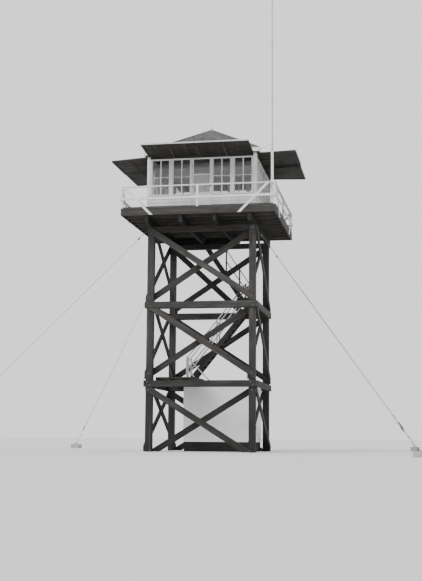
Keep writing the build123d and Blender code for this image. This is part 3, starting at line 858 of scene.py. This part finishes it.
class TOWER_OT_shutters(bpy.types.Operator):
    """Frame, board and hang the raised shutters"""
    bl_idname = "tower.shutters"
    bl_label = "Shutter frames and hinges"

    def frame_boards(self, half, length, under):
        """Corners of a panel's two stiles and three rails, 14 mm thick, under its slab."""
        stile, wall_end = 0.07, -0.06
        foot, head = under - 0.014, under + 0.002
        lows = [(-half, -length, foot), (half - stile, -length, foot)]
        highs = [(stile - half, wall_end, head), (half, wall_end, head)]
        for place in (0.06, length / 2, length - stile):
            lows.append((stile - half, -place - stile, foot))
            highs.append((half - stile, -place, head))
        return lows, highs

    def execute(self, context):
        frames, battens, boards, straps = [], [], [], []
        under, top, batten_width = -SHUTTER_DEPTH, 0.007, 0.055
        for quarter, middle, width, length, tilt in SHUTTERS:
            quarter, half, angle = int(quarter), width / 2, math.radians(tilt)
            cosine, sine = math.cos(angle), math.sin(angle)
            axes = np.array([(1, 0, 0), (0, cosine, -sine), (0, sine, cosine)])
            origin = np.array([middle, WALL_FACE, HINGE_LEVEL])
            frames.append((quarter, boxes(*self.frame_boards(half, length, under), axes, origin)))

            start, end = -half, half
            if quarter % 2:
                # a batten covers the joint of a side's two panels
                near, far = (half, half + batten_width) if middle < 0 else (-half - batten_width, -half)
                start, end = min(start, near), max(end, far)
                foot = under - 0.1 * (tilt > 0)
                battens.append((quarter, boxes((near, -length, foot), (far, -0.03, -0.002), axes, origin)))

            left, right = planks(start, end, 0.13, 0.005)
            boards.append((quarter, boxes(rows(left, -length, 0), rows(right, -0.13, top), axes, origin)))
            edge_foot = (start, -length - 0.016, under - 0.012)
            boards.append((quarter, boxes(edge_foot, (end, -length, top), axes, origin)))

            hinges = np.array([-1, 1]) * (half - 0.2)
            strap_low, strap_high = rows(hinges - 0.022, -0.42, 0.006), rows(hinges + 0.022, -0.125, 0.011)
            straps.append((quarter, boxes(strap_low, strap_high, axes, origin)))
            rivets = rows(np.repeat(hinges, 2), np.tile([-0.2, -0.36], 2), 0.011)
            straps.append((quarter, turned_solid([(0.011, -0.002), (0.011, 0.002), (0.006, 0.005)],
                                                 origin + rivets @ axes, axes[2], 10)))
        for name, parts, finish, slot in (("shutter_frames", frames, "shutter_frame_wood", "white_paint"),
                                          ("shutter_battens", battens, "shutter_underside", "white_paint"),
                                          ("shutter_boards", boards, "shutter_trim", "white_paint"),
                                          ("shutter_straps", straps, "bolt_steel", "steel")):
            add_piece(name, quartered(parts), finish)
        return {"FINISHED"}


class TOWER_OT_doors(bpy.types.Operator):
    """Panel the cab's door and board the enclosure's, with their knobs and hinges"""
    bl_idname = "tower.doors"
    bl_label = "Doors"

    def cab_door(self):
        """Frame round the lower panel, the light's bar and the screen below it."""
        foot, face, half = low("door")[2], low("door")[1], high("door")[0]
        light_foot, light = SILL_LEVEL + SASH_STILE, half - DOOR_STILE
        inner, proud, sunk, sill = half - 0.1, face - 0.012, face + 0.002, foot + 0.01
        lows = [(-half, proud, sill), (inner, proud, sill), (-inner, proud, sill),
                (-inner, proud, light_foot - 0.12), (-light, sunk, DOOR_BAR_FOOT)]
        highs = [(-inner, sunk, light_foot), (half, sunk, light_foot), (inner, sunk, foot + 0.19),
                 (inner, sunk, light_foot), (light, face + 0.042, DOOR_BAR_HEAD)]
        add_piece("door_panel_frame", boxes(lows, highs), "post_paint")
        screen = boxes((-light, face + 0.012, light_foot), (light, face + 0.013, DOOR_BAR_FOOT))
        add_piece("door_screen", screen, "wire_screen_finish")

    def hardware(self):
        """Knob and hinge knuckles of the cab's door, strap hinges and pull of the enclosure's."""
        foot, face, half = low("door")[2], low("door")[1], high("door")[0]
        knob_profile = [(0.026, 0), (0.026, 0.004), (0.01, 0.006), (0.01, 0.03),
                        (0.024, 0.036), (0.028, 0.048), (0.022, 0.06), (0.008, 0.064)]
        knob = turned_solid(knob_profile, (half - 0.03, face, foot + 1.0), (0, -1, 0), 24)
        knuckles = turned_solid([(0.004, -0.056), (0.008, -0.05), (0.008, 0.05), (0.004, 0.056)],
                                rows(-half, face - 0.006, foot + np.array([0.25, 1.0, 1.8])), (0, 0, 1), 16)
        x, front, foot = low("enclosure_door")
        back = high("enclosure_door")[1]
        levels = foot + np.array([0.3, 1.7])
        straps = boxes(rows(x - 0.029, back - 0.4, levels - 0.02),
                       rows(x - 0.024, back + 0.05, levels + 0.02))
        # the grip and the two arms that hold it off the door
        grip, near, far = x - 0.05, front + 0.05, front + 0.075
        pull = boxes(rows(grip, near, foot + np.array([0.95, 0.95, 1.11])),
                     rows([grip + 0.008, x - 0.004, x - 0.004], far, foot + np.array([1.12, 0.96, 1.12])))
        add_piece("door_hardware", joined(knob, knuckles, straps, pull), "bolt_steel")

    def enclosure(self):
        """Boards and battens of the enclosure's door, and the enclosure's corner boards."""
        x, front, foot = low("enclosure_door")
        back, head = high("enclosure_door")[1:]
        start, end = planks(front, back, 0.115, 0.004)
        boards = boxes(rows(x - 0.008, start, foot + 0.01), rows(x, end, head - 0.006))
        levels = foot + np.array([0.25, 0.95, 1.65])
        battens = boxes(rows(x - 0.024, front + 0.01, levels), rows(x - 0.008, back - 0.01, levels + 0.1))
        left, front, foot = low("stair_enclosure")
        right, back, head = high("stair_enclosure")
        width, depth = 0.06, 0.02
        outer, back_end = front - depth, back - 0.001
        spans = [(left, outer, left + width, front), (right - width, outer, right, front),
                 (left - depth, outer, left, front + width), (left - depth, back - width, left, back_end),
                 (right, outer, right + depth, front + width), (right, back - width, right + depth, back_end)]
        lows, highs = np.split(np.array(spans), 2, axis=1)
        corners = boxes(rows(*lows.T, foot + 0.003), rows(*highs.T, head - 0.003))
        add_piece("enclosure_trim", joined(boards, battens, corners), "screen_paint_painted_light")

    def execute(self, context):
        self.cab_door()
        self.hardware()
        self.enclosure()
        return {"FINISHED"}


class TOWER_OT_hardware(bpy.types.Operator):
    """Bolts through girts and braces, guy fittings and the mast's couplings"""
    bl_idname = "tower.hardware"
    bl_label = "Hardware"

    def bolt_places(self, quarter):
        """Two bolts at each girt's ends and one at each brace's ends, on the front before it is turned."""
        places = [(side * LEG_CENTRE + step * 0.05, -GIRT_FACE, level - step * 0.06)
                  for side in (-1, 1) for level in GIRT_LEVELS for step in (-1, 1)]
        ends = [(-LEG_CENTRE, 5.46), (LEG_CENTRE, 2.99), (-LEG_CENTRE, 8.46), (LEG_CENTRE, 5.93)]
        # the lowest bay's braces are a little steeper on the front and back than on the sides
        head, foot = (2.3, (LEG_CENTRE, 0.2)) if quarter % 2 else (2.36, (1.93, 0.06))
        for x, z in ends + [(-LEG_CENTRE, head), foot]:
            places += [(x, -BRACE_FACE, z), (-x, -HALF_TOWER, z)]
        return np.array(places)

    def bolts(self, radius):
        """Washers, six-sided heads and bolt ends."""
        washer = [(radius * 1.9, 0), (radius * 1.9, 0.005)]
        head = [(radius, 0.004), (radius, 0.016), (radius * 0.85, 0.019)]
        stub = [(radius * 0.5, 0.018), (radius * 0.5, 0.028)]
        washers, heads = [], []
        for quarter in range(4):
            foot = quarter_turn(self.bolt_places(quarter), quarter)
            axis = quarter_turn(np.array([0.0, -1.0, 0.0]), quarter)
            washers.append(turned_solid(washer, foot, axis, 18))
            heads += [turned_solid(head, foot, axis, 6), turned_solid(stub, foot, axis, 12)]
        return joined(*washers, *heads)

    def guy_fittings(self):
        """Thimble, clamps, insulator and turnbuckle along each guy, and the plate and nuts on its anchor."""
        guy_top = (low("cap_beams")[2] + high("cap_beams")[2]) / 2
        anchor_top = high("guy_anchors")[2]
        wire_radius, plate = 0.007, 0.012
        start = np.array([-HALF_TOWER - plate + wire_radius / 2, -HALF_TOWER + plate, guy_top])
        axis = np.array([-0.5, -0.5, -math.sqrt(0.5)])
        length = (guy_top - anchor_top) * math.sqrt(2)
        clamp = [(0.009, -0.014), (0.02, -0.01), (0.02, 0.01), (0.009, 0.014)]
        turnbuckle = [(0.008, 0), (0.014, 0.01), (0.014, 0.06), (0.024, 0.075), (0.024, 0.31), (0.014, 0.325),
                      (0.014, 0.375), (0.008, 0.385)]
        insulator = [(0.008, 0), (0.03, 0.02), (0.034, 0.05), (0.02, 0.07), (0.034, 0.09), (0.03, 0.12),
                     (0.008, 0.14)]
        thimble = [(0.016, 0.02), (0.022, 0.04), (0.022, 0.09), (0.009, 0.14)]
        socket = [(0.008, -0.18), (0.016, -0.16), (0.016, -0.02), (0.012, 0)]
        fitted = [(clamp, (0.22, 0.3, 0.38, length - 1.5, length - 1.58, length - 0.62), 14),
                  (turnbuckle, (length - 1.3,), 16), (insulator, (0.5,), 20), (thimble, (0,), 14),
                  (socket, (length,), 16)]
        parts = [turned_solid(profile, start + np.array(places)[:, None] * axis, axis, sides)
                 for profile, places, sides in fitted]
        anchor = np.append((start + length * axis)[:2], anchor_top)
        nuts = anchor + np.array([(x, y, 0.01) for x in (-0.055, 0.055) for y in (-0.055, 0.055)])
        parts += [boxes(anchor - (0.08, 0.08, 0.004), anchor + (0.08, 0.08, 0.01)),
                  turned_solid([(0.014, -0.002), (0.014, 0.014)], nuts, (0, 0, 1), 6)]
        return quartered([(quarter, joined(*parts)) for quarter in range(4)])

    def mast_couplings(self):
        """Two couplings of the mast's tubes, its flange and the bands round its post."""
        post_low, post_high = low("mast_post"), high("mast_post")
        foot = np.append(((post_low + post_high) / 2)[:2], post_high[2])
        couplings = turned_solid([(0.022, -0.07), (0.03, -0.06), (0.03, 0.06), (0.022, 0.07)],
                                 foot + np.array([(0, 0, 2.1), (0, 0, 4.3)]), (0, 0, 1), 24)
        flange = turned_solid([(0.043, 0), (0.043, 0.01), (0.03, 0.014), (0.03, 0.11), (0.022, 0.12)], foot,
                              (0, 0, 1), 24)
        bands = boxes([foot - (0.05, 0.05, 0.3), foot - (0.05, 0.05, 1.5)],
                      [foot + (0.05, 0.05, -0.27), foot + (0.05, 0.05, -1.47)])
        return joined(couplings, flange, bands)

    def execute(self, context):
        add_piece("timber_bolts", self.bolts(context.scene.lookout_sizes.bolt_radius), "bolt_steel")
        add_piece("guy_fittings", self.guy_fittings(), "bolt_steel")
        add_piece("mast_couplings", self.mast_couplings(), "galvanised_steel")
        return {"FINISHED"}


class TOWER_OT_stage(bpy.types.Operator):
    """Pale floor, soft studio light and the camera at the photograph's place"""
    bl_idname = "tower.stage"
    bl_label = "Stage"

    def floor(self, scene):
        """A level grid of four squares, just under the ground."""
        half, level = 350.0, -0.001
        u, v = np.meshgrid(np.linspace(-half, half, 3), np.linspace(-half, half, 3), indexing="ij")
        index = np.arange(9).reshape(3, 3)
        faces = np.stack([index[:-1, :-1], index[1:, :-1], index[1:, 1:], index[:-1, 1:]], axis=-1)
        mesh = bpy.data.meshes.new("stage_floor")
        mesh.from_pydata(rows(u, v, level).reshape(-1, 3), [], faces.reshape(-1, 4).tolist())
        floor = bpy.data.objects.new("stage_floor", mesh)
        scene.collection.objects.link(floor)
        material, shader, _ = new_material("stage_floor_finish")
        shader.inputs["Base Color"].default_value = (*scene.lookout_colours.floor_colour, 1)
        shader.inputs["Roughness"].default_value = 0.95
        mesh.materials.append(material)

    def light(self, scene):
        """An even pale sky and one broad, soft lamp from the front left."""
        world = scene.world or bpy.data.worlds.new("studio")
        scene.world = world
        world.use_nodes = True
        background = world.node_tree.nodes["Background"]
        background.inputs["Color"].default_value = (0.84, 0.845, 0.85, 1)
        background.inputs["Strength"].default_value = 1.6
        key = bpy.data.lights.new("key", "SUN")
        key.energy = 2.4
        key.angle = math.radians(35)
        lamp = bpy.data.objects.new("key", key)
        lamp.rotation_euler = (math.radians(48), 0, math.radians(-32))
        scene.collection.objects.link(lamp)

    def camera(self, scene):
        """The camera fitted to the photograph: its place, its turns and its focal length in pixels."""
        place, focal_pixels = (7.635, -41.560, 0.559), 1048.008
        frame_height, sensor_height = 581, 24.0
        lens = bpy.data.cameras.new("camera")
        lens.sensor_fit = "VERTICAL"
        lens.sensor_height = sensor_height
        lens.lens = sensor_height * focal_pixels / frame_height
        lens.clip_end = 2000
        yaw, pitch, roll = (math.radians(a) for a in (-10.392, 7.977, 0.418))
        level = math.cos(pitch)
        forward = np.array([math.sin(yaw) * level, math.cos(yaw) * level, math.sin(pitch)])
        level_right = np.array([math.cos(yaw), -math.sin(yaw), 0])
        level_up = np.cross(level_right, forward)
        right = level_right * math.cos(roll) + level_up * math.sin(roll)
        up = level_up * math.cos(roll) - level_right * math.sin(roll)
        turn = np.stack([right, up, -forward], axis=1)
        camera = bpy.data.objects.new("camera", lens)
        camera.matrix_world = Matrix.Translation(place) @ Matrix(turn.tolist()).to_4x4()
        scene.collection.objects.link(camera)
        scene.camera = camera

    def execute(self, context):
        self.floor(context.scene)
        self.light(context.scene)
        self.camera(context.scene)
        return {"FINISHED"}


class TOWER_PT_panel(bpy.types.Panel):
    """The tower's settings and steps in the sidebar"""
    bl_idname = "TOWER_PT_panel"
    bl_label = "Lookout tower"
    bl_space_type = "VIEW_3D"
    bl_region_type = "UI"
    bl_category = "Tower"

    def draw(self, context):
        layout = self.layout
        for group in (context.scene.lookout_sizes, context.scene.lookout_colours):
            box = layout.box()
            for name in group.__annotations__:
                box.prop(group, name)
        for operator in OPERATORS:
            layout.operator(operator.bl_idname)


OPERATORS = (TOWER_OT_finishes, TOWER_OT_shingles, TOWER_OT_siding, TOWER_OT_trim, TOWER_OT_boards,
             TOWER_OT_shutters, TOWER_OT_doors, TOWER_OT_hardware, TOWER_OT_stage)
CLASSES = (LookoutSizes, LookoutColours) + OPERATORS + (TOWER_PT_panel,)


def register():
    """Register the classes and hang the settings on the scene."""
    for cls in CLASSES:
        bpy.utils.register_class(cls)
    bpy.types.Scene.lookout_sizes = PointerProperty(type=LookoutSizes)
    bpy.types.Scene.lookout_colours = PointerProperty(type=LookoutColours)


def unregister():
    """Take the settings off the scene and unregister the classes."""
    del bpy.types.Scene.lookout_colours
    del bpy.types.Scene.lookout_sizes
    for cls in reversed(CLASSES):
        bpy.utils.unregister_class(cls)


def main():
    """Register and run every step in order."""
    register()
    for operator in OPERATORS:
        group, name = operator.bl_idname.split(".")
        result = getattr(getattr(bpy.ops, group), name)()
        if result != {"FINISHED"}:
            raise RuntimeError(operator.bl_idname + " did not finish")


if __name__ == "__main__":
    main()
